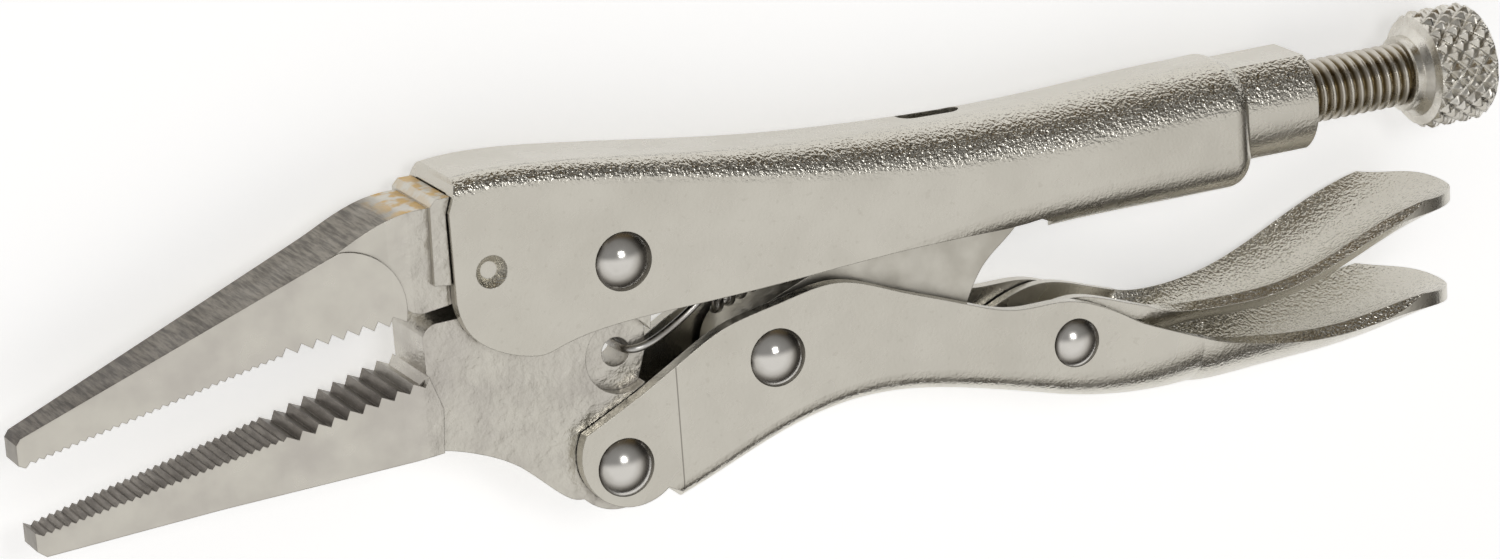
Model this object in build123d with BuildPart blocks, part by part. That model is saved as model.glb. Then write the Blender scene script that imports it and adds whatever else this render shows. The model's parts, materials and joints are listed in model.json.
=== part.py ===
"""Long-nose locking pliers, nominal 150 mm, locked on a gap of about 6 mm at the jaw tips.

The tool lies on its side: X runs from the jaw tips to the knurled knob, Y from the lower
handle to the upper one, Z across the thickness. Shapes are drawn in the side view, with
the jaw pivot at (0, 0) and the middle of the thickness at height 0.
"""
import os
from math import atan2, cos, degrees, hypot, radians, sin

from build123d import *

# ---- driving dimensions, mm -------------------------------------------------------------
TIP_X = -55.8            # jaw tips, ahead of the jaw pivot
KNOB_REAR_X = 91.0       # back of the knurled knob
HIGHEST_Y = 10.33        # crown of the upper handle
LOWEST_Y = -23.92        # belly of the lower handle
HALF_WIDTH = 7.0         # half the width of the two thumb troughs

JAW_PIVOT = (0.0, 0.0)
HANDLE_PIVOT = (-1.3, -18.9)     # lower handle on the movable jaw
LINK_PIVOT = (14.25, -11.75)     # lower handle on the toggle link
TOGGLE_POINT = (42.3, 0.9)       # rounded end of the link, bearing on the screw
LEVER_PIVOT = (44.55, -16.4)     # release lever in the lower handle
SCREW_Y = 1.4                    # axis of the adjusting screw
SPRING_HOLE = (-0.3, -9.0)       # hook of the spring in the movable jaw
SPRING_ANCHOR = (33.6, 3.0)      # hook of the spring in the slot of the upper handle
CRIMP = (-12.5, 1.45)            # where the upper handle is pressed into the fixed jaw

SHEET = 1.3              # upper handle sheet
LOWER_SHEET = 1.25       # lower handle sheet
LEVER_SHEET = 1.1        # release lever sheet
HANDLE_WIDTH = 10.0      # both handles, over the sheet, at the front
JAW_BODY = 7.2           # forged bodies, between the sheet walls
RIVET_SHANK = 3.2
RIVET_HEAD = 5.4
RIVET_RISE = 1.25        # height of a domed head
RUNNING = 0.05           # radial clearance of a turning joint

THREAD_D = 6.0           # M6 adjusting screw
THREAD_PITCH = 1.0
THREAD_DEPTH = 0.61
END_D = 10.4             # swaged end of the upper handle, round with two flats
END_FLATS = 9.0          # across the flats
END_START_X = 62.5
END_END_X = 71.2
KNOB_D = 11.3
KNOB_FRONT_X = 84.8
COLLAR_D = 7.2
COLLAR_FRONT_X = 83.0

ORIGIN = (-(TIP_X + KNOB_REAR_X) / 2, -(HIGHEST_Y + LOWEST_Y) / 2, HALF_WIDTH)
SIDE = Plane(origin=ORIGIN, z_dir=(0, 0, 1))
PLAN = Plane(origin=ORIGIN, x_dir=(1, 0, 0), z_dir=(0, -1, 0))


def station(x):
    """Section plane across the tool: first coordinate up (Y), second across (Z)."""
    place = (ORIGIN[0] + x, ORIGIN[1], ORIGIN[2])
    return Plane(origin=place, x_dir=(0, 1, 0), z_dir=(1, 0, 0))


def screw_station(x):
    """Section plane centred on the screw axis."""
    place = (ORIGIN[0] + x, ORIGIN[1] + SCREW_Y, ORIGIN[2])
    return Plane(origin=place, x_dir=(0, 1, 0), z_dir=(1, 0, 0))


def turning_plane(pivot):
    """Plane through a pivot axis, for revolved rivets: X outwards, Y along the axis."""
    place = (ORIGIN[0] + pivot[0], ORIGIN[1] + pivot[1], ORIGIN[2])
    return Plane(origin=place, x_dir=(1, 0, 0), z_dir=(0, -1, 0))


def write(part, name):
    """Label the finished piece and write its STEP file."""
    part.label = name
    export_step(part, f"parts/{name}.step")


def tooth_row(start, end, count, depth, lean):
    """Points of a serrated edge: crests on the line, roots `depth` into the jaw."""
    length = hypot(end[0] - start[0], end[1] - start[1])
    along = ((end[0] - start[0]) / length, (end[1] - start[1]) / length)
    pitch = length / count
    points = []
    for tooth in range(count):
        crest = tooth * pitch
        root = crest + lean * pitch
        points.append((start[0] + along[0] * crest, start[1] + along[1] * crest))
        points.append((start[0] + along[0] * root - along[1] * depth,
                       start[1] + along[1] * root + along[0] * depth))
    return points


os.makedirs("parts", exist_ok=True)

# ---- upper handle: sheet channel at the front, tube behind, two-flatted end --------------
# x, top, bottom, width, top corner radius, bottom corner radius
UPPER_STATIONS = (
    (-16.0, 9.95, -9.0, 10.0, 1.8, 1.8),
    (-11.5, 10.34, -9.0, 10.0, 1.9, 1.8),
    (-4.0, 9.75, -9.0, 10.0, 2.0, 1.8),
    (6.0, 8.4, -8.6, 10.0, 2.3, 1.8),
    (16.0, 7.2, -7.8, 10.2, 3.0, 2.0),
    (27.0, 6.5, -6.6, 10.6, 4.0, 2.6),
    (38.0, 6.2, -5.6, 11.2, 4.7, 3.2),
    (48.0, 6.4, -5.25, 11.8, 5.0, 3.5),
    (56.0, 6.65, -5.25, 11.95, 5.0, 3.5),
    (64.2, 6.9, -5.25, 12.0, 5.0, 3.5),
)
TUBE_START_X = 43.0
LINK_SLOT_END_X = 49.0
ROOF_SLOT_X = 33.7       # the spring's slot lies a little off the middle of the roof
ROOF_SLOT_Z = -1.3


def upper_section(x, top, bottom, width, top_radius, bottom_radius, wall):
    """Rounded section of the upper handle, moved in by `wall`."""
    half = width / 2 - wall
    with BuildSketch(station(x)) as section:
        with BuildLine():
            FilletPolyline(
                (bottom + wall, -half), (top - wall, -half),
                (top - wall, half), (bottom + wall, half),
                radius=[max(bottom_radius - wall, 0.4), max(top_radius - wall, 0.4),
                        max(top_radius - wall, 0.4), max(bottom_radius - wall, 0.4)],
                close=True,
            )
        make_face()
    return section.sketch


with BuildPart() as upper_handle:
    loft([upper_section(*numbers, 0.0) for numbers in UPPER_STATIONS])
    shoulder = upper_handle.faces().sort_by(Axis.X)[-1]
    fillet(shoulder.edges(), 2.2)
    with BuildSketch(screw_station(END_START_X)):
        Circle(END_D / 2)
        Rectangle(END_FLATS, END_D, mode=Mode.INTERSECT)
    extrude(amount=END_END_X - END_START_X)
    loft([upper_section(*numbers, SHEET) for numbers in UPPER_STATIONS[:-1]]
         + [upper_section(END_START_X - 2.0, 6.85, -5.25, 12.0, 5.0, 3.5, SHEET)],
         mode=Mode.SUBTRACT)
    with BuildSketch(screw_station(END_START_X - 4.0)):
        Circle(THREAD_D / 2 + RUNNING)
    extrude(amount=END_END_X - END_START_X + 6.0, mode=Mode.SUBTRACT)
    # the side walls stop at this lower edge, back to the notch where the tube closes
    with BuildSketch(SIDE):
        with BuildLine():
            Polyline((TUBE_START_X, -12.0), (-20.0, -12.0), (-20.0, 0.7), (-16.1, 0.7))
            Spline((-16.1, 0.7), (-14.6, -4.3), (-8.5, -7.0), (-2.75, -5.75),
                   tangents=[(0.03, -1.0), (1.0, 0.13)])
            Spline((-2.75, -5.75), (6.6, -5.25), (17.0, -4.8), (28.5, -4.15), (38.0, -4.2),
                   tangents=[(1.0, 0.13), (1.0, -0.03)])
            Polyline((38.0, -4.2), (40.0, -4.1), (41.6, -3.9), (TUBE_START_X, -4.6),
                     (TUBE_START_X, -12.0))
        make_face()
    extrude(amount=HALF_WIDTH, both=True, mode=Mode.SUBTRACT)
    with BuildSketch(SIDE):
        with BuildLine():
            Polyline((-14.9, 12.0), (-15.2, 9.6), (-16.05, 7.2), (-16.05, -12.0),
                     (-20.0, -12.0), (-20.0, 12.0), (-14.9, 12.0))
        make_face()
    extrude(amount=HALF_WIDTH, both=True, mode=Mode.SUBTRACT)
    # slot under the tube for the end of the link
    with BuildSketch(PLAN):
        with Locations(((TUBE_START_X + LINK_SLOT_END_X) / 2, 0)):
            SlotOverall(LINK_SLOT_END_X - TUBE_START_X + 7.0, 7.0)
    extrude(amount=8.0, mode=Mode.SUBTRACT)
    # slot in the roof, where the spring hooks in
    with BuildSketch(PLAN):
        with Locations((ROOF_SLOT_X, ROOF_SLOT_Z)):
            SlotOverall(6.2, 2.7)
    extrude(amount=-10.0, mode=Mode.SUBTRACT)
    # rivet holes and the two crimps that hold the fixed jaw
    with BuildSketch(SIDE):
        with Locations(JAW_PIVOT):
            Circle(RIVET_SHANK / 2)
    extrude(amount=HALF_WIDTH, both=True, mode=Mode.SUBTRACT)
    for side in (1, -1):
        with BuildSketch(SIDE.offset(side * (HANDLE_WIDTH / 2 - SHEET - 0.45))):
            with Locations(CRIMP):
                Circle(1.0)
        extrude(amount=side * 0.9)
        with BuildSketch(SIDE.offset(side * (HANDLE_WIDTH / 2 + 0.01))):
            with Locations(CRIMP):
                Circle(1.5)
        extrude(amount=-side * 0.85, taper=40, mode=Mode.SUBTRACT)

write(upper_handle.part, "upper_handle")

# ---- jaws --------------------------------------------------------------------------------
NOSE_TIP_HALF = 1.6      # half thickness of a nose at its tip
NOSE_BACK_HALF = 4.3     # and at its back
NOSE_BACK_X = -20.0
FINE_DEPTH = 0.3
COARSE_DEPTH = 0.75
EAR_RECESS = 1.4         # the spring ear is thinner than the body by this on each side


def nose_wedge():
    """Plan of the tapered nose, used to trim its sides."""
    tip = (TIP_X - 0.5, NOSE_TIP_HALF)
    back = (NOSE_BACK_X + 6.0, NOSE_BACK_HALF)
    with BuildSketch(PLAN) as wedge:
        with BuildLine():
            Polyline((tip[0], -tip[1]), tip, (NOSE_BACK_X, back[1]), back,
                     (back[0], -back[1]), (NOSE_BACK_X, -back[1]), (tip[0], -tip[1]))
        make_face()
    return wedge.sketch


with BuildPart() as fixed_jaw:
    with BuildSketch(SIDE):
        with BuildLine():
            Polyline([(TIP_X, -8.3), (-55.2, -8.6)]
                     + tooth_row((-55.0, -8.45), (-31.9, -2.9), 31, FINE_DEPTH, 0.5)
                     + tooth_row((-31.9, -2.9), (-20.7, -1.75), 8, COARSE_DEPTH, 0.35)
                     + [(-20.5, -1.7)])
            ThreePointArc((-20.5, -1.7), (-21.6, 3.3), (-26.0, 5.45))
            Polyline((-26.0, 5.45), (-55.4, -5.95), (TIP_X, -6.5), (TIP_X, -8.3))
        make_face()
    extrude(amount=HALF_WIDTH, both=True)
    extrude(nose_wedge(), amount=20.0, both=True, mode=Mode.INTERSECT)
    # forged neck between the nose and the handle, and the tang inside the handle
    with BuildSketch(SIDE):
        with BuildLine():
            Spline((-27.5, 4.87), (-24.4, 6.3), (-21.4, 7.45), (-18.2, 7.9),
                   tangents=[(1.0, 0.39), (1.0, 0.03)])
            Polyline((-18.2, 7.9), (-16.3, 7.9), (-16.3, -1.15), (-18.6, -1.45))
            Spline((-18.6, -1.45), (-20.1, -0.9), (-21.5, 0.6), (-27.5, 4.87),
                   tangents=[(-1.0, 0.0), (-0.8, 0.6)])
        make_face()
    extrude(amount=3.75, both=True)
    with BuildSketch(SIDE):
        with BuildLine():
            Polyline((-16.3, -1.15), (-16.3, 8.3), (-8.0, 8.3), (-2.5, 7.6), (-2.5, 5.34))
            ThreePointArc((-2.5, 5.34), (-5.26, 2.68), (-5.8, -1.1))
            Polyline((-5.8, -1.1), (-16.3, -1.15))
        make_face()
    extrude(amount=JAW_BODY / 2 + 0.04, both=True)
    # rib that seats against the front edge of the sheet
    with BuildSketch(SIDE):
        with BuildLine():
            Polyline((-17.7, 1.0), (-16.12, 0.8), (-16.12, 7.2), (-15.6, 8.7), (-16.9, 8.7),
                     (-17.5, 8.1), (-17.7, 1.0))
        make_face()
    extrude(amount=4.4, both=True)
    for side in (1, -1):
        with BuildSketch(SIDE.offset(side * 5.0)):
            with Locations(CRIMP):
                Circle(1.1)
        extrude(amount=-side * 2.0, mode=Mode.SUBTRACT)

write(fixed_jaw.part, "fixed_jaw")

with BuildPart() as movable_jaw:
    with BuildSketch(SIDE):
        with BuildLine():
            Polyline([(-55.0, -14.5), (-55.0, -16.2), (-54.2, -16.8), (-38.6, -15.55),
                      (-20.9, -14.5), (-18.1, -14.25), (-17.8, -10.2), (-18.9, -7.1)]
                     + tooth_row((-32.2, -10.06), (-19.0, -7.1), 9, -COARSE_DEPTH, 0.65)[::-1]
                     + tooth_row((-54.7, -14.65), (-32.2, -10.06), 31, -FINE_DEPTH, 0.5)[::-1]
                     + [(-55.0, -14.5)])
        make_face()
    extrude(amount=HALF_WIDTH, both=True)
    extrude(nose_wedge(), amount=20.0, both=True, mode=Mode.INTERSECT)
    # forged body: neck, pivot boss, spring ear and boss for the lower handle
    with BuildSketch(SIDE):
        with BuildLine():
            Polyline((-20.6, -14.48), (-20.6, -8.6), (-18.9, -7.3), (-18.95, -3.6))
            RadiusArc((-18.95, -3.6), (-17.6, -2.6), 1.6)
            Polyline((-17.6, -2.6), (-4.65, -2.35))
            ThreePointArc((-4.65, -2.35), (0.0, 5.2), (4.9, -1.74))
            Polyline((4.9, -1.74), (2.75, -6.0), (2.5, -9.4), (1.5, -12.6), (2.6, -15.5))
            ThreePointArc((2.6, -15.5), (0.2, -22.85), (-5.0, -21.5))
            Spline((-5.0, -21.5), (-6.7, -20.9), (-9.8, -18.1), (-13.6, -15.7),
                   (-18.3, -14.25), (-20.6, -14.48),
                   tangents=[(-1.0, 0.0), (-1.0, -0.05)])
        make_face()
    extrude(amount=JAW_BODY / 2, both=True)
    for side in (1, -1):
        with BuildSketch(SIDE.offset(side * JAW_BODY / 2)):
            with Locations(SPRING_HOLE):
                Circle(3.5)
        extrude(amount=-side * EAR_RECESS, mode=Mode.SUBTRACT)
    with BuildSketch(SIDE):
        with Locations(SPRING_HOLE):
            Circle(1.35)
        with Locations(JAW_PIVOT, HANDLE_PIVOT):
            Circle(RIVET_SHANK / 2 + RUNNING)
    extrude(amount=HALF_WIDTH, both=True, mode=Mode.SUBTRACT)

write(movable_jaw.part, "movable_jaw")

# ---- lower handle: lugs at the front, channel, thumb trough at the back -------------------
WEB_START_X = 4.3
# x, bottom, width, bottom corner radius
FRONT_STATIONS = (
    (-7.0, -25.5, 10.0, 1.8),
    (4.3, -23.1, 10.0, 1.8),
    (10.9, -20.65, 10.0, 1.9),
    (20.0, -18.0, 10.0, 2.0),
    (28.0, -17.95, 10.0, 2.1),
    (37.0, -19.9, 10.0, 2.3),
    (43.0, -21.6, 10.0, 2.6),
)
REAR_STATIONS = (
    (43.0, -21.6, 10.0, 2.6),
    (46.5, -22.5, 10.05, 3.0),
    (51.0, -23.3, 10.5, 3.9),
    (57.5, -23.78, 11.6, 5.75),
)
# x, bottom, radius, rim: from here the sheet is a rounded trough
TROUGH_STATIONS = (
    (57.5, -23.78, 5.8, -18.3),
    (64.0, -23.8, 6.7, -20.1),
    (70.0, -23.4, 9.0, -20.7),
    (76.0, -22.7, 10.6, -20.1),
    (81.0, -21.7, 12.0, -19.5),
    (84.5, -20.9, 17.0, -19.5),
    (88.0, -20.1, 27.0, -19.3),
)
TROUGH_TOP = 2.0         # the channel sections run up to here before the rim is cut


def channel_section(x, bottom, width, radius, wall):
    """Section of an open channel, moved in by `wall`."""
    half = width / 2 - wall
    with BuildSketch(station(x)) as section:
        with BuildLine():
            FilletPolyline(
                (TROUGH_TOP, half), (TROUGH_TOP, -half),
                (bottom + wall, -half), (bottom + wall, half),
                radius=[0.2, 0.2, max(radius - wall, 0.4), max(radius - wall, 0.4)],
                close=True,
            )
        make_face()
    return section.sketch


def trough_section(x, bottom, radius, rim, wall):
    """Section of a thumb trough: a band `wall` thick, its edges square to the sheet."""
    centre = bottom + radius
    drop = centre - rim
    reach = (radius ** 2 - drop ** 2) ** 0.5
    inner = (radius - wall) / radius
    with BuildSketch(station(x)) as section:
        with BuildLine():
            ThreePointArc((rim, -reach), (bottom, 0), (rim, reach))
            Line((rim, reach), (centre - drop * inner, reach * inner))
            ThreePointArc((centre - drop * inner, reach * inner), (bottom + wall, 0),
                          (centre - drop * inner, -reach * inner))
            Line((centre - drop * inner, -reach * inner), (rim, -reach))
        make_face()
    return section.sketch


with BuildPart() as lower_handle:
    for stations in (FRONT_STATIONS, REAR_STATIONS):
        loft([channel_section(*numbers, 0.0) for numbers in stations])
        loft([channel_section(*numbers, LOWER_SHEET) for numbers in stations],
             mode=Mode.SUBTRACT)
    # side view: everything outside this outline goes
    with BuildSketch(SIDE):
        with BuildLine():
            ThreePointArc((WEB_START_X - 1.6, -21.6), (-1.0, -22.7), (-4.9, -15.3))
            Polyline((-4.9, -15.3), (0.6, -12.6), (4.0, -10.7))
            Spline((4.0, -10.7), (8.95, -8.1), (15.0, -6.7), (20.6, -5.95), (26.3, -7.8),
                   (32.7, -10.2), (38.8, -12.1), (44.5, -12.4), (49.9, -14.85),
                   (57.5, -18.3),
                   tangents=[(1.0, 0.55), (1.0, -0.4)])
            Polyline((57.5, -18.3), (60.0, -18.3), (60.0, -26.0), (WEB_START_X, -26.0),
                     (WEB_START_X, -22.5), (WEB_START_X - 1.6, -21.6))
        make_face()
    extrude(amount=HALF_WIDTH + 1.0, both=True, mode=Mode.INTERSECT)
    loft([trough_section(*numbers, LOWER_SHEET) for numbers in TROUGH_STATIONS])
    # no web between the two lugs
    with BuildSketch(SIDE):
        with Locations((WEB_START_X - 10.0, -20.0)):
            Rectangle(20.0, 16.0)
    extrude(amount=HANDLE_WIDTH / 2 - LOWER_SHEET, both=True, mode=Mode.SUBTRACT)
    # rounded end of the trough, seen from above
    with BuildSketch(PLAN):
        with BuildLine():
            Polyline((75.0, -HALF_WIDTH), (-8.0, -HALF_WIDTH), (-8.0, HALF_WIDTH),
                     (75.0, HALF_WIDTH))
            Spline((75.0, HALF_WIDTH), (81.5, 6.1), (85.2, 3.9), (86.4, 0.0), (85.2, -3.9),
                   (81.5, -6.1), (75.0, -HALF_WIDTH), tangents=[(1.0, 0.0), (-1.0, 0.0)])
        make_face()
    extrude(amount=30.0, both=True, mode=Mode.INTERSECT)
    with BuildSketch(SIDE):
        with Locations(HANDLE_PIVOT, LINK_PIVOT, LEVER_PIVOT):
            Circle(RIVET_SHANK / 2)
    extrude(amount=HALF_WIDTH, both=True, mode=Mode.SUBTRACT)

write(lower_handle.part, "lower_handle")

# ---- toggle link -------------------------------------------------------------------------
LINK_HALF = 2.9
LINK_END_RADIUS = 2.0
LINK_SLOT = 2.0          # room at the lower pivot along the link
LINK_SLOT_WIDTH = 4.0    # and across it

with BuildPart() as toggle_link:
    with BuildSketch(SIDE):
        with BuildLine():
            ThreePointArc((15.9, -15.6), (10.6, -9.8), (12.9, -7.75))
            Polyline((12.9, -7.75), (30.0, -1.2), (40.8, 2.25))
            ThreePointArc((40.8, 2.25), (44.3, 0.9), (42.4, -1.1))
            Spline((42.4, -1.1), (40.2, -4.6), (36.5, -7.8), (34.6, -11.0), (34.1, -12.9),
                   tangents=[(-0.6, -1.0), (-0.1, -1.0)])
            Polyline((34.1, -12.9), (32.6, -13.4), (15.9, -15.6))
        make_face()
    extrude(amount=LINK_HALF, both=True)
    link_angle = degrees(atan2(TOGGLE_POINT[1] - LINK_PIVOT[1], TOGGLE_POINT[0] - LINK_PIVOT[0]))
    slot_shift = (LINK_SLOT / 2 * cos(radians(link_angle)), LINK_SLOT / 2 * sin(radians(link_angle)))
    with BuildSketch(SIDE):
        with Locations((LINK_PIVOT[0] + slot_shift[0], LINK_PIVOT[1] + slot_shift[1])):
            SlotCenterToCenter(LINK_SLOT, LINK_SLOT_WIDTH, rotation=link_angle)
    extrude(amount=HALF_WIDTH, both=True, mode=Mode.SUBTRACT)

write(toggle_link.part, "toggle_link")

# ---- release lever -----------------------------------------------------------------------
# x, bottom, width, bottom corner radius
LEVER_STATIONS = (
    (34.0, -17.4, 7.0, 1.6),
    (40.0, -18.9, 7.0, 1.8),
    (46.5, -19.6, 7.0, 2.3),
    (53.0, -18.6, 7.8, 3.85),
)
# x, bottom, radius, rim
LEVER_TROUGH_STATIONS = (
    (53.0, -18.6, 3.9, -14.85),
    (57.0, -18.2, 4.8, -15.95),
    (61.0, -18.1, 6.3, -16.05),
    (68.0, -17.6, 8.5, -14.85),
    (75.0, -15.3, 8.9, -12.05),
    (80.0, -13.3, 10.0, -10.5),
    (84.0, -11.8, 14.0, -9.95),
    (88.0, -10.4, 25.0, -9.5),
)

with BuildPart() as release_lever:
    loft([channel_section(*numbers, 0.0) for numbers in LEVER_STATIONS])
    loft([channel_section(*numbers, LEVER_SHEET) for numbers in LEVER_STATIONS],
         mode=Mode.SUBTRACT)
    with BuildSketch(SIDE):
        with BuildLine():
            Polyline((56.0, -22.0), (35.4, -22.0), (35.4, -17.0), (37.2, -15.6))
            Spline((37.2, -15.6), (41.0, -13.4), (45.4, -12.55), (50.0, -13.8), (53.0, -14.85),
                   tangents=[(1.0, 0.8), (1.0, -0.36)])
            Polyline((53.0, -14.85), (56.0, -14.85), (56.0, -22.0))
        make_face()
    extrude(amount=HALF_WIDTH + 1.0, both=True, mode=Mode.INTERSECT)
    loft([trough_section(*numbers, LEVER_SHEET) for numbers in LEVER_TROUGH_STATIONS])
    with BuildSketch(PLAN):
        with BuildLine():
            Polyline((76.0, -HALF_WIDTH), (34.0, -HALF_WIDTH), (34.0, HALF_WIDTH),
                     (76.0, HALF_WIDTH))
            Spline((76.0, HALF_WIDTH), (82.2, 6.1), (85.9, 3.9), (87.1, 0.0), (85.9, -3.9),
                   (82.2, -6.1), (76.0, -HALF_WIDTH), tangents=[(1.0, 0.0), (-1.0, 0.0)])
        make_face()
    extrude(amount=30.0, both=True, mode=Mode.INTERSECT)
    with BuildSketch(SIDE):
        with Locations(LEVER_PIVOT):
            Circle(RIVET_SHANK / 2 + RUNNING)
    extrude(amount=HALF_WIDTH, both=True, mode=Mode.SUBTRACT)

write(release_lever.part, "release_lever")

# ---- rivets ------------------------------------------------------------------------------
RIVETS = (
    ("jaw_pivot_rivet", JAW_PIVOT, RIVET_HEAD, RIVET_RISE),
    ("handle_pivot_rivet", HANDLE_PIVOT, RIVET_HEAD, RIVET_RISE),
    ("link_pivot_rivet", LINK_PIVOT, RIVET_HEAD, RIVET_RISE),
    ("lever_pivot_rivet", LEVER_PIVOT, 4.6, 1.0),
)
RIVET_SEAT = HANDLE_WIDTH / 2 + 0.06

for rivet_name, pivot, head, rise in RIVETS:
    dome = (head ** 2 / 4 + rise ** 2) / 2 / rise
    with BuildPart() as rivet:
        with BuildSketch(turning_plane(pivot)):
            with BuildLine():
                Polyline((0, RIVET_SEAT + rise), (0, -RIVET_SEAT - rise))
                RadiusArc((0, -RIVET_SEAT - rise), (head / 2, -RIVET_SEAT), -dome)
                Polyline((head / 2, -RIVET_SEAT), (RIVET_SHANK / 2, -RIVET_SEAT),
                         (RIVET_SHANK / 2, RIVET_SEAT), (head / 2, RIVET_SEAT))
                RadiusArc((head / 2, RIVET_SEAT), (0, RIVET_SEAT + rise), -dome)
            make_face()
        revolve(axis=Axis(turning_plane(pivot).origin, (0, 0, 1)))
    write(rivet.part, rivet_name)

# ---- adjusting screw and knob --------------------------------------------------------------
SCREW_TIP_X = TOGGLE_POINT[0] + LINK_END_RADIUS + 0.05
THREAD_START_X = 46.0
THREAD_COUNT = 38
SCREW_REAR_X = 88.0
screw_axis = Axis((0, ORIGIN[1] + SCREW_Y, ORIGIN[2]), (1, 0, 0))

with BuildPart() as adjusting_screw:
    with BuildSketch(Plane(origin=(ORIGIN[0], ORIGIN[1] + SCREW_Y, ORIGIN[2]))):
        with BuildLine():
            crest = THREAD_D / 2
            root = crest - THREAD_DEPTH
            ridge = [(THREAD_START_X, root)]
            for turn in range(THREAD_COUNT):
                begin = THREAD_START_X + turn * THREAD_PITCH
                ridge += [(begin + 0.4, crest), (begin + 0.6, crest), (begin + 1.0, root)]
            Polyline([(SCREW_TIP_X, 0), (SCREW_TIP_X, root - 0.3), (SCREW_TIP_X + 0.5, root)]
                     + ridge
                     + [(SCREW_REAR_X, root), (SCREW_REAR_X, 0), (SCREW_TIP_X, 0)])
        make_face()
    revolve(axis=screw_axis)

write(adjusting_screw.part, "adjusting_screw")

with BuildPart() as knurled_knob:
    with BuildSketch(screw_station(KNOB_FRONT_X)):
        Circle(KNOB_D / 2)
    extrude(amount=KNOB_REAR_X - KNOB_FRONT_X)
    chamfer(knurled_knob.faces().filter_by(Axis.X).edges(), 0.6)
    with BuildSketch(screw_station(COLLAR_FRONT_X)):
        Circle(COLLAR_D / 2)
    extrude(amount=KNOB_FRONT_X - COLLAR_FRONT_X + 1.0)
    with BuildSketch(screw_station(COLLAR_FRONT_X)):
        Circle(THREAD_D / 2 + RUNNING)
    extrude(amount=SCREW_REAR_X - COLLAR_FRONT_X + 0.2, mode=Mode.SUBTRACT)

write(knurled_knob.part, "knurled_knob")

# ---- tension spring ------------------------------------------------------------------------
WIRE_D = 0.75
COIL_D = 5.4
COIL_START = 10.6        # along the spring's line, from the hole in the jaw
COIL_END = 27.5
EAR_FACE = JAW_BODY / 2 - EAR_RECESS
spring_angle = atan2(SPRING_ANCHOR[1] - SPRING_HOLE[1], SPRING_ANCHOR[0] - SPRING_HOLE[0])


def on_spring(distance, lift=0.0, across=0.0):
    """Point at a distance along the spring's line, lifted square to it, in the part's frame."""
    x = SPRING_HOLE[0] + distance * cos(spring_angle) - lift * sin(spring_angle)
    y = SPRING_HOLE[1] + distance * sin(spring_angle) + lift * cos(spring_angle)
    return Vector(ORIGIN[0] + x, ORIGIN[1] + y, ORIGIN[2] + across)


def wire_plane(start, end):
    """Section plane at the start of a straight run of wire."""
    return Plane(origin=start, z_dir=end - start)


coil_radius = (COIL_D - WIRE_D) / 2
coil_front = on_spring(COIL_START)
coil_back = on_spring(COIL_END)
jaw_eye = on_spring(0.7, -0.5, EAR_FACE + WIRE_D)
roof_eye = on_spring(COIL_END + 8.6, -0.4, ROOF_SLOT_Z)
WIRE_RUNS = (
    (jaw_eye, on_spring(COIL_START + 0.6, -coil_radius, WIRE_D)),
    (jaw_eye + Vector(0, 0, WIRE_D / 2), jaw_eye - Vector(0, 0, 2 * EAR_FACE + 2 * WIRE_D)),
    (on_spring(COIL_END - 0.6, coil_radius), roof_eye),
    (roof_eye - Vector(0, 0.2, 0), roof_eye + Vector(0, 3.0, 0)),
)

with BuildPart() as tension_spring:
    with BuildSketch(wire_plane(coil_front, coil_back)):
        Circle(COIL_D / 2)
        Circle(COIL_D / 2 - WIRE_D, mode=Mode.SUBTRACT)
    extrude(amount=COIL_END - COIL_START)
    for run_start, run_end in WIRE_RUNS:
        with BuildSketch(wire_plane(run_start, run_end)):
            Circle(WIRE_D / 2)
        extrude(amount=(run_end - run_start).length)

write(tension_spring.part, "tension_spring")
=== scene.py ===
import json
import math

import bpy
from mathutils import Matrix, Vector


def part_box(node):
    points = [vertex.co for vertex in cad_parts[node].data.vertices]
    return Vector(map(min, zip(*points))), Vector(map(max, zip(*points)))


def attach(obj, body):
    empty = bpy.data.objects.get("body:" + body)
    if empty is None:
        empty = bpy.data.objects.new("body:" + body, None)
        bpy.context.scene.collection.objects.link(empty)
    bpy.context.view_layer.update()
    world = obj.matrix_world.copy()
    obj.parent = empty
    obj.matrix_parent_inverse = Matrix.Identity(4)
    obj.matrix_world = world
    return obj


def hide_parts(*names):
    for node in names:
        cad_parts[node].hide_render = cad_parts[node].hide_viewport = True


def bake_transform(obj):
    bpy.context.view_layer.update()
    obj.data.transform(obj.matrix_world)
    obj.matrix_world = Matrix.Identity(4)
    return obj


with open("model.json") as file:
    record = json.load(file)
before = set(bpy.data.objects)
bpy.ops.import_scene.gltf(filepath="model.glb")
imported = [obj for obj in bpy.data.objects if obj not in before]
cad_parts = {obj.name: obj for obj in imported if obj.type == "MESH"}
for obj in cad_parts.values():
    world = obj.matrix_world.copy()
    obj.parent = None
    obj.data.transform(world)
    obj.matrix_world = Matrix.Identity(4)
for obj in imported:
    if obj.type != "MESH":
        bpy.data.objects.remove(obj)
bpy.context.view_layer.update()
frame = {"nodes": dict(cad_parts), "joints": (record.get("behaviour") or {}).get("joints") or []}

MM = 0.001
NODES = frame["nodes"]
JOINTS = {joint["name"]: joint for joint in frame["joints"]}
PIVOT = Vector(JOINTS["jaw_pivot"]["pos_m"])
scene = bpy.context.scene


def at(x, y, z=0.0):
    """Point given in millimetres from the jaw pivot, in the side view."""
    return PIVOT + Vector((x, y, z)) * MM


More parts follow.
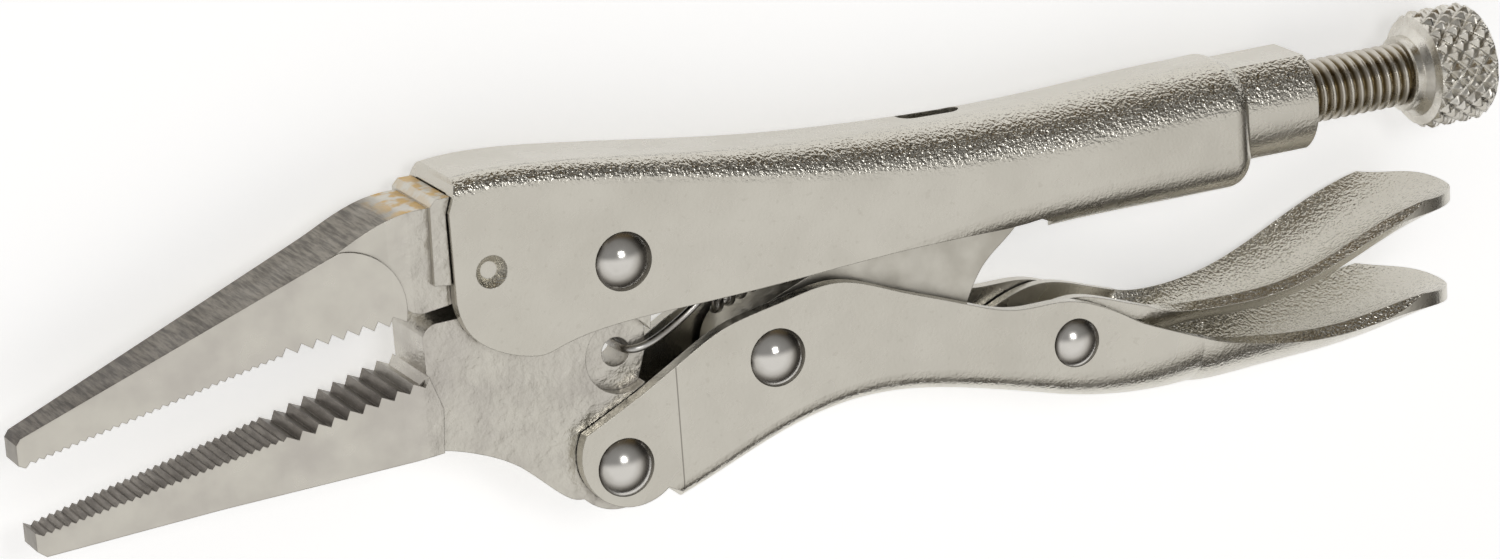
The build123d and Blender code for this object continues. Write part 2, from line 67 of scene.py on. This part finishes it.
# ---- node helpers ------------------------------------------------------------------------
class Shader:
    """A Principled material and short calls for the nodes that feed it."""

    def __init__(self, name, edge=0.12 * MM):
        self.edge = edge
        self.material = bpy.data.materials.new(name)
        self.material.use_nodes = True
        self.tree = self.material.node_tree
        self.bsdf = self.tree.nodes["Principled BSDF"]
        self.coords = self.add("ShaderNodeTexCoord")

    def add(self, kind, **settings):
        node = self.tree.nodes.new(kind)
        for key, value in settings.items():
            setattr(node, key, value)
        return node

    def put(self, value, socket):
        """Link a socket, or set a plain value."""
        if isinstance(value, bpy.types.NodeSocket):
            self.tree.links.new(value, socket)
        else:
            socket.default_value = value

    def math(self, operation, first, second=0.0, clamp=False):
        node = self.add("ShaderNodeMath", operation=operation, use_clamp=clamp)
        self.put(first, node.inputs[0])
        self.put(second, node.inputs[1])
        return node.outputs[0]

    def split(self, vector):
        node = self.add("ShaderNodeSeparateXYZ")
        self.put(vector, node.inputs[0])
        return node.outputs

    def stretched(self, factors, turn=0.0):
        """Object coordinates turned about Z, then scaled along each axis."""
        node = self.add("ShaderNodeMapping")
        self.put(self.coords.outputs["Object"], node.inputs["Vector"])
        node.inputs["Rotation"].default_value = (0.0, 0.0, math.radians(turn))
        node.inputs["Scale"].default_value = factors
        return node.outputs[0]

    def noise(self, scale, detail=2.0, rough=0.5, vector=None):
        node = self.add("ShaderNodeTexNoise")
        self.put(vector or self.coords.outputs["Object"], node.inputs["Vector"])
        node.inputs["Scale"].default_value = scale
        node.inputs["Detail"].default_value = detail
        node.inputs["Roughness"].default_value = rough
        return node.outputs["Fac"]

    def span(self, value, low, high, out_low=0.0, out_high=1.0, smooth=True):
        """Map low..high onto out_low..out_high, clamped."""
        node = self.add("ShaderNodeMapRange")
        if smooth:
            node.interpolation_type = "SMOOTHSTEP"
        self.put(value, node.inputs["Value"])
        self.put(low, node.inputs["From Min"])
        self.put(high, node.inputs["From Max"])
        self.put(out_low, node.inputs["To Min"])
        self.put(out_high, node.inputs["To Max"])
        return node.outputs["Result"]

    def mix(self, factor, first, second):
        """Blend of two colours."""
        node = self.add("ShaderNodeMix", data_type="RGBA")
        self.put(factor, node.inputs[0])
        self.put(first, node.inputs[6])
        self.put(second, node.inputs[7])
        return node.outputs[2]

    def crevice_shade(self, reach):
        """Painted-shade mask from ambient occlusion: 0 in the open, 1 deep in a corner."""
        node = self.add("ShaderNodeAmbientOcclusion", samples=6)
        node.inputs["Distance"].default_value = reach
        return self.span(node.outputs["AO"], 0.75, 0.15)

    def bump(self, height):
        """Surface relief from a height in metres."""
        node = self.add("ShaderNodeBump")
        node.inputs["Distance"].default_value = 1.0
        node.inputs["Strength"].default_value = 1.0
        self.put(height, node.inputs["Height"])
        rounded = self.add("ShaderNodeBevel", samples=4)
        rounded.inputs["Radius"].default_value = self.edge
        self.put(rounded.outputs[0], node.inputs["Normal"])
        self.put(node.outputs["Normal"], self.bsdf.inputs["Normal"])

    def finish(self, colour, roughness):
        self.put(colour, self.bsdf.inputs["Base Color"])
        self.put(roughness, self.bsdf.inputs["Roughness"])
        self.bsdf.inputs["Metallic"].default_value = 1.0
        return self.material


NICKEL = (0.650, 0.625, 0.560, 1.0)
NICKEL_DULL = (0.500, 0.475, 0.415, 1.0)
GOLD_REFLECTION_TINT = (0.560, 0.350, 0.090, 1.0)
# dark brown for the cut seam line, and painted shade in corners, between parts and at rivet rims
SEAM_AND_SHADE_DARK = (0.060, 0.048, 0.036, 1.0)
BARE_STEEL = (0.210, 0.188, 0.165, 1.0)
OIL = (0.210, 0.165, 0.090, 1.0)


def plated_sheet(name, trough_from=None, seam=None):
    """Satin nickel over pressed sheet: smooth flats, orange peel where the sheet is bent.

    trough_from: x, in metres, behind which the whole sheet is grainy.
    seam: x, in metres, of a faint cut line down the outer face."""
    s = Shader(name)
    place = s.split(s.coords.outputs["Object"])
    normal = s.split(s.coords.outputs["Normal"])
    bend = s.math("ABSOLUTE", s.math("MULTIPLY", normal[1], normal[2]))
    bend = s.math("ADD", bend, s.math("MULTIPLY", s.noise(420.0, 3.0), 0.16))
    bend = s.math("MULTIPLY", s.span(bend, 0.12, 0.42), s.span(normal[1], -0.25, 0.2, 0.25, 1.0))
    if trough_from is not None:
        rear = s.span(place[0], trough_from, trough_from + 14 * MM)
        upward = s.span(normal[1], 0.15, 0.5)
        inside = s.math("MULTIPLY", rear, upward)
        bend = s.math("MAXIMUM", bend, s.math("MULTIPLY", inside, 0.8))
    fine = s.noise(3300.0, 1.5, 0.55)
    medium = s.noise(900.0, 2.0, 0.5)
    broad = s.noise(130.0, 1.0)
    relief = s.math("MULTIPLY", fine, s.math("ADD", s.math("MULTIPLY", bend, 0.000140), 0.000018))
    relief = s.math("ADD", relief, s.math("MULTIPLY", medium, 0.000010))
    relief = s.math("ADD", relief, s.math("MULTIPLY", broad, 0.000030))
    s.bump(relief)
    patches = s.span(s.noise(95.0, 4.0, 0.6), 0.30, 0.75)
    specks = s.span(s.noise(1500.0, 1.0), 0.66, 0.74)
    colour = s.mix(patches, NICKEL, (0.610, 0.585, 0.520, 1.0))
    colour = s.mix(s.math("MULTIPLY", specks, 0.25), colour, NICKEL_DULL)
    if seam is not None:
        line = s.math("ABSOLUTE", s.math("SUBTRACT", place[0], seam))
        line = s.math("MULTIPLY", s.span(line, 0.09 * MM, 0.04 * MM), s.span(normal[2], 0.7, 0.9))
        colour = s.mix(s.math("MULTIPLY", line, 0.55), colour, SEAM_AND_SHADE_DARK)
    # painted shade: the sheet is darkened where ambient occlusion finds corners and gaps between parts
    colour = s.mix(s.math("MULTIPLY", s.crevice_shade(0.7 * MM), 0.75), colour, SEAM_AND_SHADE_DARK)
    rough = s.span(s.noise(260.0, 3.0), 0.3, 0.7, 0.23, 0.31)
    rough = s.math("SUBTRACT", rough, s.math("MULTIPLY", bend, 0.10))
    return s.finish(colour, rough)


def forged(name, teeth_side):
    """Plated forging with ground nose faces, a dark ground top and bare teeth.

    teeth_side: +1 where the teeth face up the Y axis, -1 where they face down."""
    s = Shader(name)
    place = s.split(s.coords.outputs["Object"])
    normal = s.split(s.coords.outputs["Normal"])
    side = s.math("ABSOLUTE", normal[2])
    nose = s.span(place[0], PIVOT.x - 19.5 * MM, PIVOT.x - 21.5 * MM, smooth=False)
    edge_on = s.math("MULTIPLY", s.span(side, 0.55, 0.40), nose)
    toothed = s.math("MULTIPLY", edge_on, s.span(s.math("MULTIPLY", normal[1], teeth_side), -0.1, 0.1))
    top = s.math("SUBTRACT", edge_on, toothed, clamp=True)
    ground_side = s.math("MULTIPLY", s.span(side, 0.6, 0.8), nose)
    lines = s.noise(1.0, 3.0, 0.7, s.stretched((3800.0, 260.0, 260.0), 12.0))
    coarse_lines = s.noise(1.0, 4.0, 0.75, s.stretched((2600.0, 240.0, 240.0), 22.0))
    cast = s.math("ADD", s.math("MULTIPLY", s.noise(620.0, 4.0, 0.6), 0.00022),
                  s.math("MULTIPLY", s.noise(190.0, 2.0), 0.00030))
    body = s.math("SUBTRACT", 1.0, nose, clamp=True)
    relief = s.math("MULTIPLY", cast, s.math("ADD", s.math("MULTIPLY", body, 0.9), 0.05))
    relief = s.math("ADD", relief, s.math("MULTIPLY", lines, s.math("MULTIPLY", ground_side, 0.000004)))
    relief = s.math("ADD", relief, s.math("MULTIPLY", coarse_lines, s.math("MULTIPLY", edge_on, 0.000022)))
    s.bump(relief)
    patches = s.span(s.noise(150.0, 4.0, 0.6), 0.3, 0.75)
    colour = s.mix(patches, NICKEL, (0.575, 0.545, 0.500, 1.0))
    streaks = s.span(coarse_lines, 0.35, 0.65)
    along = s.span(place[0], PIVOT.x - 56 * MM, PIVOT.x - 22 * MM)
    dark_ground = s.mix(streaks, (0.045, 0.036, 0.030, 1.0), (0.170, 0.150, 0.125, 1.0))
    pale_ground = s.mix(streaks, (0.110, 0.098, 0.082, 1.0), (0.290, 0.265, 0.225, 1.0))
    colour = s.mix(s.math("MULTIPLY", top, 0.95), colour, s.mix(along, dark_ground, pale_ground))
    bare_teeth = s.mix(streaks, (0.095, 0.080, 0.068, 1.0), BARE_STEEL)
    colour = s.mix(s.math("MULTIPLY", toothed, 0.9), colour, bare_teeth)
    # painted reflection: gold patches on up-facing faces behind the nose of the fixed jaw stand for a warm
    # reflection
    gold_reflection_mask = s.math("MULTIPLY", s.span(normal[1], 0.6, 0.9), s.math("SUBTRACT", 1.0, nose, clamp=True))
    gold_reflection_mask = s.math("MULTIPLY", gold_reflection_mask, s.span(s.noise(700.0, 2.0), 0.40, 0.56))
    if teeth_side < 0:
        colour = s.mix(s.math("MULTIPLY", gold_reflection_mask, 0.9), colour, GOLD_REFLECTION_TINT)
    # painted shade: the forging is darkened where ambient occlusion finds corners and gaps between parts
    colour = s.mix(s.math("MULTIPLY", s.crevice_shade(0.9 * MM), 0.7), colour, SEAM_AND_SHADE_DARK)
    rough = s.span(s.noise(300.0, 3.0), 0.3, 0.7, 0.27, 0.40)
    rough = s.math("ADD", rough, s.math("MULTIPLY", edge_on, 0.08))
    return s.finish(colour, rough)


def link_steel(name):
    """Blanked and plated link with a rough edge."""
    s = Shader(name)
    normal = s.split(s.coords.outputs["Normal"])
    edge = s.span(s.math("ABSOLUTE", normal[2]), 0.6, 0.4)
    depth = s.math("ADD", s.math("MULTIPLY", edge, 0.00006), 0.00002)
    s.bump(s.math("MULTIPLY", s.noise(700.0, 3.0, 0.6), depth))
    colour = s.mix(s.span(s.noise(220.0, 4.0), 0.35, 0.7), NICKEL, NICKEL_DULL)
    # painted shade: the link is darkened where ambient occlusion finds corners and gaps between parts
    colour = s.mix(s.math("MULTIPLY", s.crevice_shade(1.2 * MM), 0.8), colour, SEAM_AND_SHADE_DARK)
    return s.finish(colour, s.span(s.noise(300.0, 3.0), 0.3, 0.7, 0.3, 0.42))


def rivet_steel(name, seat):
    """Polished dome, with painted shade in a ring where it meets the sheet.

    seat: distance of the head's rim from the middle of the tool, in metres."""
    s = Shader(name)
    place = s.split(s.coords.outputs["Object"])
    height = s.math("ABSOLUTE", s.math("SUBTRACT", place[2], PIVOT.z))
    rim = s.span(height, seat + 0.36 * MM, seat + 0.02 * MM)
    rim = s.math("MULTIPLY", rim, s.span(s.noise(800.0, 3.0), 0.25, 0.6))
    relief = s.math("MULTIPLY", s.noise(420.0, 3.0), 0.000012)
    relief = s.math("ADD", relief, s.math("MULTIPLY", s.noise(1800.0, 2.0), 0.000002))
    s.bump(relief)
    colour = s.mix(s.span(s.noise(500.0, 3.0), 0.4, 0.8), (0.70, 0.68, 0.645, 1.0), (0.62, 0.60, 0.56, 1.0))
    # painted shade: a dark ring at the head's rim, where it meets the sheet
    colour = s.mix(s.math("MULTIPLY", rim, 0.85), colour, SEAM_AND_SHADE_DARK)
    polish = s.span(s.noise(350.0), 0.3, 0.7, 0.12, 0.2)
    return s.finish(colour, s.math("ADD", s.math("MULTIPLY", rim, 0.3), polish))


def thread_steel(name, axis):
    """Plated thread with old oil in its grooves. axis: a point on the screw's axis."""
    s = Shader(name)
    place = s.split(s.coords.outputs["Object"])
    dy = s.math("SUBTRACT", place[1], axis.y)
    dz = s.math("SUBTRACT", place[2], axis.z)
    radius = s.math("SQRT", s.math("ADD", s.math("MULTIPLY", dy, dy), s.math("MULTIPLY", dz, dz)))
    groove = s.span(radius, 2.86 * MM, 2.55 * MM)
    groove = s.math("MULTIPLY", groove, s.span(s.noise(600.0, 3.0), 0.2, 0.6, 0.6, 1.0))
    s.bump(s.math("MULTIPLY", s.noise(2600.0, 3.0), 0.00001))
    colour = s.mix(groove, (0.60, 0.565, 0.50, 1.0), OIL)
    return s.finish(colour, s.span(s.noise(900.0, 2.0), 0.3, 0.7, 0.24, 0.38))


def knurl_steel(name):
    """Plated knurl in lighter and darker patches, with painted shade darkening the flanks between the bright
    points.
    """
    s = Shader(name)
    s.bump(s.math("MULTIPLY", s.noise(1500.0, 4.0, 0.6), 0.00004))
    patches = s.span(s.noise(500.0, 4.0), 0.35, 0.7)
    colour = s.mix(patches, (0.74, 0.715, 0.655, 1.0), (0.60, 0.570, 0.505, 1.0))
    # painted shade: ambient occlusion darkens the grooves between the knurl's points
    colour = s.mix(s.math("MULTIPLY", s.crevice_shade(0.5 * MM), 0.45), colour, SEAM_AND_SHADE_DARK)
    return s.finish(colour, s.span(s.noise(700.0, 3.0), 0.3, 0.7, 0.2, 0.36))


def wire_steel(name):
    """Bright drawn spring wire, greyer in patches."""
    s = Shader(name)
    s.bump(s.math("MULTIPLY", s.noise(1800.0, 2.0), 0.000006))
    colour = s.mix(s.span(s.noise(260.0, 3.0), 0.35, 0.7), (0.60, 0.59, 0.565, 1.0), (0.42, 0.40, 0.375, 1.0))
    # painted shade: the wire is darkened where ambient occlusion finds corners and gaps between parts
    colour = s.mix(s.math("MULTIPLY", s.crevice_shade(0.8 * MM), 0.7), colour, SEAM_AND_SHADE_DARK)
    return s.finish(colour, s.span(s.noise(600.0), 0.3, 0.7, 0.2, 0.32))


# ---- mesh helpers --------------------------------------------------------------------------
def mesh_piece(name, points, faces, material, smooth_angle=40.0):
    """New mesh object, shaded smooth except across edges sharper than smooth_angle."""
    mesh = bpy.data.meshes.new(name)
    mesh.from_pydata([tuple(p) for p in points], [], faces)
    mesh.update()
    mesh.polygons.foreach_set("use_smooth", [True] * len(mesh.polygons))
    mesh.set_sharp_from_angle(angle=math.radians(smooth_angle))
    mesh.materials.append(material)
    piece = bpy.data.objects.new(name, mesh)
    scene.collection.objects.link(piece)
    return piece


def turned_grid(axis_point, xs, radius_at, around):
    """Points and faces of a closed turned body about X: radius_at(x, angle) gives each radius."""
    points, faces = [], []
    for x in xs:
        for step in range(around):
            angle = 2 * math.pi * step / around
            r = radius_at(x, angle)
            points.append((x, axis_point.y + r * math.cos(angle), axis_point.z + r * math.sin(angle)))
    for ring in range(len(xs) - 1):
        for step in range(around):
            a = ring * around + step
            b = ring * around + (step + 1) % around
            faces.append((a, b, b + around, a + around))
    faces.append(tuple(reversed(range(around))))
    faces.append(tuple((len(xs) - 1) * around + step for step in range(around)))
    return points, [tuple(reversed(face)) for face in faces]


def tube(points, radius, around=12):
    """Points and faces of a closed round wire that follows a smooth list of points."""
    points = [Vector(p) for p in points]
    ring_points, faces = [], []
    side = None
    for i, p in enumerate(points):
        ahead = points[min(i + 1, len(points) - 1)] - points[max(i - 1, 0)]
        ahead.normalize()
        if side is None:
            side = ahead.orthogonal().normalized()
        side = (side - ahead * side.dot(ahead)).normalized()
        other = ahead.cross(side)
        for step in range(around):
            angle = 2 * math.pi * step / around
            ring_points.append(p + (side * math.cos(angle) + other * math.sin(angle)) * radius)
    for ring in range(len(points) - 1):
        for step in range(around):
            a = ring * around + step
            b = ring * around + (step + 1) % around
            faces.append((a, b, b + around, a + around))
    faces.append(tuple(reversed(range(around))))
    faces.append(tuple((len(points) - 1) * around + step for step in range(around)))
    return ring_points, faces


def spline_points(controls, per_span=10):
    """Smooth open curve near a few control points."""
    curve = bpy.data.curves.new("path", "CURVE")
    curve.dimensions = "3D"
    spline = curve.splines.new("NURBS")
    spline.points.add(len(controls) - 1)
    for point, control in zip(spline.points, controls):
        point.co = (*control, 1.0)
    spline.order_u = 4
    spline.use_endpoint_u = True
    spline.resolution_u = per_span
    holder = bpy.data.objects.new("path", curve)
    scene.collection.objects.link(holder)
    line = bpy.data.meshes.new_from_object(holder)
    found = [v.co.copy() for v in line.vertices]
    bpy.data.objects.remove(holder)
    bpy.data.curves.remove(curve)
    bpy.data.meshes.remove(line)
    return found


def dress(node, material):
    """Give a CAD node its finish."""
    data = NODES[node].data
    data.materials.clear()
    data.materials.append(material)


# ---- sheet, forgings and rivets: the CAD shapes with their finishes --------------------------
dress("upper_handle", plated_sheet("upper_handle_nickel"))
dress("lower_handle", plated_sheet("lower_handle_nickel", PIVOT.x + 56 * MM, PIVOT.x + 4.2 * MM))
dress("release_lever", plated_sheet("release_lever_nickel", PIVOT.x + 50 * MM))
dress("fixed_jaw", forged("fixed_jaw_steel", -1.0))
dress("movable_jaw", forged("movable_jaw_steel", 1.0))
dress("toggle_link", link_steel("toggle_link_steel"))
for rivet in ("jaw_pivot_rivet", "handle_pivot_rivet", "link_pivot_rivet", "lever_pivot_rivet"):
    dress(rivet, rivet_steel(rivet + "_steel", 5.06 * MM))

# ---- adjusting screw: M6 x 1 helical thread ----------------------------------------------------
SCREW_LOW, SCREW_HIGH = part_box("adjusting_screw")
SCREW_AXIS = (SCREW_LOW + SCREW_HIGH) / 2
CREST = (SCREW_HIGH.y - SCREW_LOW.y) / 2
THREAD_DEPTH = 0.61 * MM
PITCH = 1.0 * MM
THREAD_START = SCREW_LOW.x + 1.6 * MM
THREAD_END = SCREW_HIGH.x - 4.0 * MM


def thread_radius(x, angle):
    """Rounded V thread, right-handed about +X, run out at both ends."""
    turn = (x / PITCH - angle / (2 * math.pi)) % 1.0
    ridge = 1.0 - abs(2.0 * turn - 1.0)
    ridge = min(1.0, max(0.0, ridge * 1.25 - 0.05))
    ridge = ridge * ridge * (3 - 2 * ridge) * 0.35 + ridge * 0.65
    run_in = min(1.0, max(0.0, (x - THREAD_START) / PITCH))
    run_out = min(1.0, max(0.0, (THREAD_END - x) / PITCH))
    return CREST - THREAD_DEPTH + THREAD_DEPTH * ridge * min(run_in, run_out)


STEPS_PER_PITCH = 14
thread_rings = round((SCREW_HIGH.x - SCREW_LOW.x) / PITCH * STEPS_PER_PITCH)
screw_xs = [SCREW_LOW.x + (SCREW_HIGH.x - SCREW_LOW.x) * i / thread_rings for i in range(thread_rings + 1)]
points, faces = turned_grid(SCREW_AXIS, screw_xs, thread_radius, 56)
screw = mesh_piece("screw_thread", points, faces, thread_steel("thread_steel", SCREW_AXIS), 60.0)
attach(screw, "screw")
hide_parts("adjusting_screw")

# ---- knob: diamond knurl, plain front face and coned collar ------------------------------------
KNOB_LOW, KNOB_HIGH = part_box("knurled_knob")
KNOB_R = (KNOB_HIGH.y - KNOB_LOW.y) / 2
KNOB_FRONT = KNOB_LOW.x + 1.8 * MM
COLLAR_R = 3.6 * MM
KNURL_DEPTH = 0.52 * MM
DIAMONDS = 20


def knurl_radius(x, angle):
    """Crossed grooves that leave four-sided points, fading at the chamfered ends."""
    along = (x - KNOB_FRONT) / (2 * math.pi * KNOB_R / DIAMONDS)
    about = angle / (2 * math.pi) * DIAMONDS
    one = abs(2 * ((about + along) % 1.0) - 1.0)
    two = abs(2 * ((about - along) % 1.0) - 1.0)
    point = min(1.0, 1.35 * min(1.0 - one, 1.0 - two))
    end = min(x - KNOB_FRONT, KNOB_HIGH.x - x)
    chamfer = max(0.0, 0.55 * MM - end) * 0.9
    return KNOB_R - max(KNURL_DEPTH * (1.0 - point), chamfer)


# x and radius: the collar with its chamfered edge, then a 45 degree cone up to the knob
COLLAR_CONE = 0.9 * MM
collar = [(KNOB_LOW.x, COLLAR_R - 0.25 * MM), (KNOB_LOW.x + 0.12 * MM, COLLAR_R)]
for step in range(6):
    ahead = COLLAR_CONE * math.cos(math.radians(15 * step))
    collar.append((KNOB_FRONT - ahead, COLLAR_R + COLLAR_CONE - ahead))
collar.append((KNOB_FRONT, KNOB_R - 0.62 * MM))
plain = dict(collar)
KNURL_RINGS = 44
BEHIND_FACE = 1e-7       # the knurl starts this far behind the plain face's rim
knob_xs = [x for x, radius in collar]
for ring in range(KNURL_RINGS):
    knob_xs.append(KNOB_FRONT + BEHIND_FACE + (KNOB_HIGH.x - KNOB_FRONT) * ring / KNURL_RINGS)
knob_xs.append(KNOB_HIGH.x)


def knob_radius(x, angle):
    """Radius of the collar and plain face where they are listed, else of the knurl."""
    return plain[x] if x in plain else knurl_radius(x, angle)


points, faces = turned_grid(SCREW_AXIS, knob_xs, knob_radius, DIAMONDS * 12)
knob = mesh_piece("knob_knurl", points, faces, knurl_steel("knob_steel"), 24.0)
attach(knob, "knob")
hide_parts("knurled_knob")

# ---- tension spring: coil and two hooks --------------------------------------------------------
WIRE_R = 0.375 * MM
COIL_R = 2.32 * MM
HOLE = at(-0.3, -9.0)
ANCHOR = at(33.6, 3.0)
AXIS = (ANCHOR - HOLE).normalized()
LIFT = Vector((0, 0, 1)).cross(AXIS).normalized()
ACROSS = Vector((0, 0, 1))
COIL_START, COIL_END = 10.6 * MM, 27.5 * MM
TURNS = 13
STEPS_PER_TURN = 24


def beside(distance, lift=0.0, across=0.0):
    """Point beside the spring's line."""
    return HOLE + AXIS * distance + LIFT * lift * MM + ACROSS * across * MM


coil = []
for step in range(TURNS * STEPS_PER_TURN + 1):
    angle = 2 * math.pi * step / STEPS_PER_TURN
    distance = COIL_START + (COIL_END - COIL_START) * step / (TURNS * STEPS_PER_TURN)
    around = LIFT * (-COIL_R * math.cos(angle)) + ACROSS * (COIL_R * math.sin(angle))
    coil.append(HOLE + AXIS * distance + around)
front_hook = spline_points([
    beside(2.6 * MM, -0.3, -2.9), beside(1.2 * MM, -0.3, -2.9), beside(0.75 * MM, -0.2, -1.5),
    beside(0.75 * MM, -0.2, 0.5), beside(0.75 * MM, -0.1, 2.4), beside(1.5 * MM, -0.4, 3.1),
    beside(3.4 * MM, -0.7, 3.0), beside(6.5 * MM, -0.4, 2.6), beside(9.0 * MM, 0.2, 2.5),
    beside(10.2 * MM, 0.9, 2.3), beside(10.6 * MM, -0.6, 2.2), beside(10.5 * MM, -2.0, 1.0), coil[0],
])
rear_hook = spline_points([
    coil[-1], beside(COIL_END + 1.0 * MM, -1.2, 0.0), beside(COIL_END + 3.5 * MM, -0.5, -0.6),
    beside(COIL_END + 6.5 * MM, 0.2, -1.2), beside(COIL_END + 8.2 * MM, 0.8, -1.3),
    beside(COIL_END + 8.2 * MM, 1.8, -1.3), beside(COIL_END + 7.8 * MM, 3.0, -1.3),
])
points, faces = tube(front_hook[:-1] + coil + rear_hook[1:], WIRE_R)
spring = mesh_piece("spring_coil", points, faces, wire_steel("spring_wire"), 60.0)
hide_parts("tension_spring")
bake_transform(spring)

# ---- floor, light and camera -------------------------------------------------------------------
FLOOR_HALF = 2.0
floor = mesh_piece("floor", [(-FLOOR_HALF, -FLOOR_HALF, 0), (FLOOR_HALF, -FLOOR_HALF, 0),
                             (FLOOR_HALF, FLOOR_HALF, 0), (-FLOOR_HALF, FLOOR_HALF, 0)],
                   [(0, 1, 2, 3)], bpy.data.materials.new("floor_white"))
floor.location.z = -0.05 * MM
floor_material = floor.data.materials[0]
floor_material.use_nodes = True
floor_bsdf = floor_material.node_tree.nodes["Principled BSDF"]
floor_bsdf.inputs["Base Color"].default_value = (0.93, 0.93, 0.93, 1.0)
floor_bsdf.inputs["Roughness"].default_value = 0.7
floor_bsdf.inputs["Emission Color"].default_value = (1.0, 1.0, 1.0, 1.0)
floor_bsdf.inputs["Emission Strength"].default_value = 0.45

world = bpy.data.worlds.new("studio")
world.use_nodes = True
scene.world = world
tree = world.node_tree
background = tree.nodes["Background"]
direction = tree.nodes.new("ShaderNodeTexCoord")
STOPS = (
    (0.00, (0.050, 0.045, 0.040)),
    (0.16, (0.070, 0.064, 0.056)),
    (0.34, (0.260, 0.245, 0.225)),
    (0.56, (0.720, 0.705, 0.680)),
    (0.80, (0.950, 0.940, 0.925)),
)


def world_node(kind, inputs, **settings):
    """Node of the world tree with its inputs linked or set, and its first output."""
    node = tree.nodes.new(kind)
    for key, value in settings.items():
        setattr(node, key, value)
    for name, value in inputs.items():
        if isinstance(value, bpy.types.NodeSocket):
            tree.links.new(value, node.inputs[name])
        else:
            node.inputs[name].default_value = value
    return node.outputs[0]


axes = tree.nodes.new("ShaderNodeSeparateXYZ")
tree.links.new(direction.outputs["Generated"], axes.inputs[0])
lean = world_node("ShaderNodeMath", {0: axes.outputs["X"], 1: 0.15}, operation="MULTIPLY")
level = world_node("ShaderNodeMath", {0: axes.outputs["Z"], 1: lean}, operation="SUBTRACT")
ramp = tree.nodes.new("ShaderNodeValToRGB")
tree.links.new(level, ramp.inputs["Fac"])
while len(ramp.color_ramp.elements) < len(STOPS):
    ramp.color_ramp.elements.new(0.5)
for element, (place, colour) in zip(ramp.color_ramp.elements, STOPS):
    element.position = place
    element.color = (*colour, 1.0)
# the upper side is darker, with a warm patch low down behind the upper handle
shade = world_node("ShaderNodeMapRange", {"Value": axes.outputs["Y"], "From Min": -0.10, "From Max": 0.24,
                                          "To Min": 0.93, "To Max": 0.34}, interpolation_type="SMOOTHSTEP")
toward = world_node("ShaderNodeMapRange", {"Value": axes.outputs["Y"], "From Min": 0.55, "From Max": 0.95})
low = world_node("ShaderNodeMapRange", {"Value": axes.outputs["Z"], "From Min": 0.50, "From Max": 0.25})
warm = world_node("ShaderNodeMath", {0: toward, 1: low}, operation="MULTIPLY")
blend = tree.nodes.new("ShaderNodeMix")
blend.data_type = "RGBA"
tree.links.new(warm, blend.inputs[0])
tree.links.new(ramp.outputs["Color"], blend.inputs[6])
blend.inputs[7].default_value = (0.480, 0.350, 0.180, 1.0)
tree.links.new(blend.outputs[2], background.inputs["Color"])
tree.links.new(shade, background.inputs["Strength"])


def softbox(name, place, size, power, colour=(1.0, 1.0, 1.0)):
    """Square area light aimed at the middle of the tool."""
    light = bpy.data.lights.new(name, "AREA")
    light.shape = "SQUARE"
    light.size = size
    light.energy = power
    light.color = colour
    holder = bpy.data.objects.new(name, light)
    scene.collection.objects.link(holder)
    holder.location = place
    holder.rotation_mode = "QUATERNION"
    holder.rotation_quaternion = (-Vector(place)).to_track_quat("-Z", "Y")


softbox("window", (0.0, 0.22, 0.68), 0.17, 0.60)

knob_centre = (KNOB_LOW + KNOB_HIGH) / 2
AIM = knob_centre - Vector((8.2, 0.0, 0.0)) * MM
RIGHT = Vector((0.8994, -0.0695, 0.4316))
UP = Vector((0.1851, 0.9549, -0.2320))
BACK = Vector((-0.3960, 0.2885, 0.8717))
camera_data = bpy.data.cameras.new("camera")
camera_data.sensor_width = 36.0
camera_data.lens = 133.25
camera_data.clip_start = 0.01
camera_data.clip_end = 20.0
camera = bpy.data.objects.new("camera", camera_data)
scene.collection.objects.link(camera)
turn = Matrix((RIGHT, UP, BACK)).transposed().to_4x4()
camera.matrix_world = Matrix.Translation(AIM + Vector((-262.6, 137.3, 436.1)) * MM) @ turn
scene.camera = camera
scene.view_settings.view_transform = "Standard"

bpy.context.view_layer.update()
